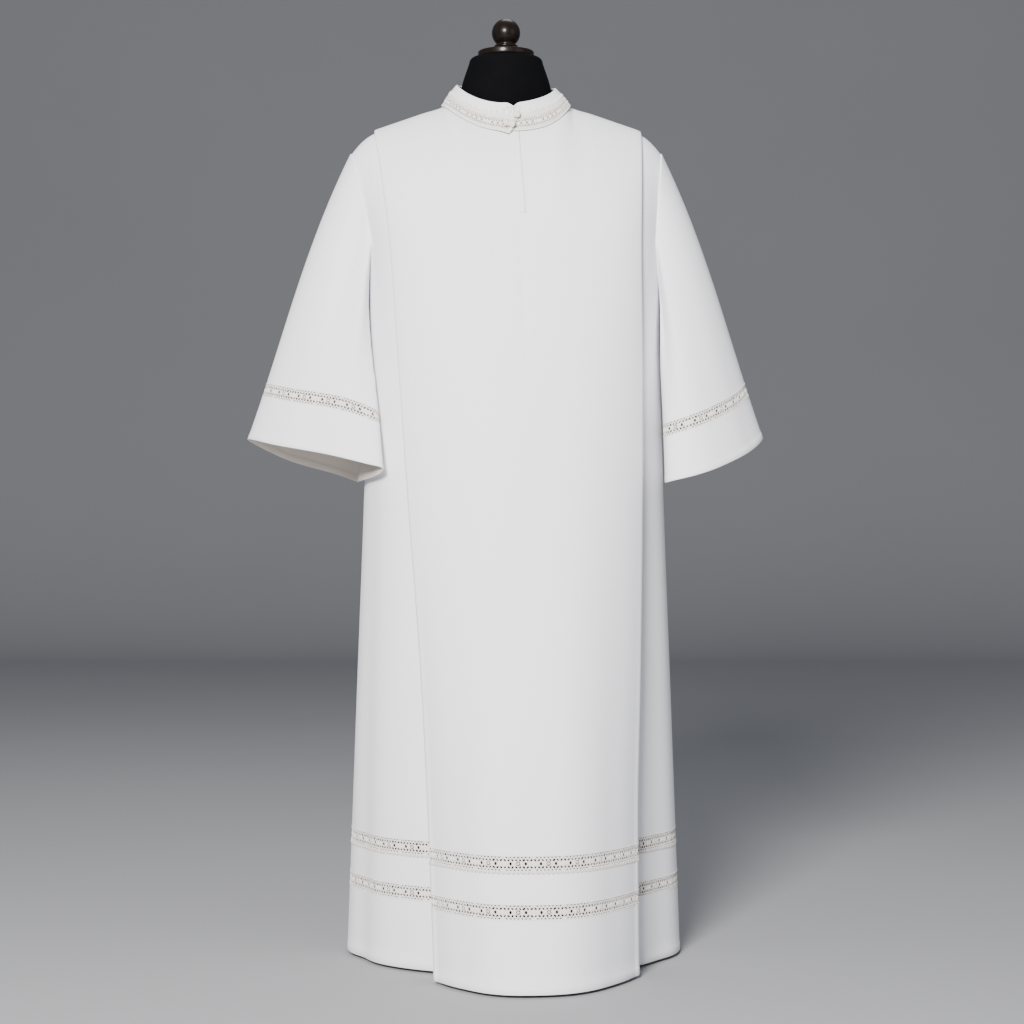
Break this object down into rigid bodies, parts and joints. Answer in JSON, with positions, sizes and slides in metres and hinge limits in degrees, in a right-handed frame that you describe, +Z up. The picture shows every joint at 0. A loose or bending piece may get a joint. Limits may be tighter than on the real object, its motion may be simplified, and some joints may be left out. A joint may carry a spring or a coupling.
{
  "type": "alb robe on a limbless dress form",
  "caption": "White pleated alb with inset lace, wide open sleeves and a standing collar, worn by a limbless dress form on a round foot.",
  "frame": {"origin": "centre of the bounding box at the floor, under the form's pole", "axes": "+Z up, the robe's front faces -Y, +X towards the sleeve on the right as seen from the front"},
  "size_m": [0.7982, 0.5717, 1.4545],
  "materials": {
    "robe_cloth": "smooth white plain-weave cloth, matt with a slight sheen",
    "lace": "ivory floral lace, matt",
    "button_cloth": "cream covered button and knotted cloth toggle",
    "form_cloth": "black jersey cover, matt",
    "turned_wood": "dark stained turned wood, lacquered",
    "stand_metal": "black enamel on steel"
  },
  "bodies": {
    "root": {"form_body": "form_cloth", "form_cap": "turned_wood", "form_finial": "turned_wood", "form_pole": "stand_metal", "form_foot": "stand_metal", "front_upper": "robe_cloth", "front_middle": "robe_cloth", "front_lower": "robe_cloth", "back_upper": "robe_cloth", "back_middle": "robe_cloth", "back_lower": "robe_cloth", "lace_upper_front": "lace", "lace_upper_back": "lace", "front_mid_band": "robe_cloth", "back_mid_band": "robe_cloth", "lace_lower_front": "lace", "lace_lower_back": "lace", "front_hem_band": "robe_cloth", "back_hem_band": "robe_cloth", "sleeve_left": "robe_cloth", "sleeve_right": "robe_cloth", "sleeve_left_lace_front": "lace", "sleeve_left_lace_back": "lace", "sleeve_right_lace_front": "lace", "sleeve_right_lace_back": "lace", "sleeve_left_cuff": "robe_cloth", "sleeve_right_cuff": "robe_cloth", "collar_band": "robe_cloth", "collar_lace": "lace", "collar_button": "button_cloth", "collar_toggle": "button_cloth", "placket_strip": "robe_cloth"}
  },
  "joints": []
}
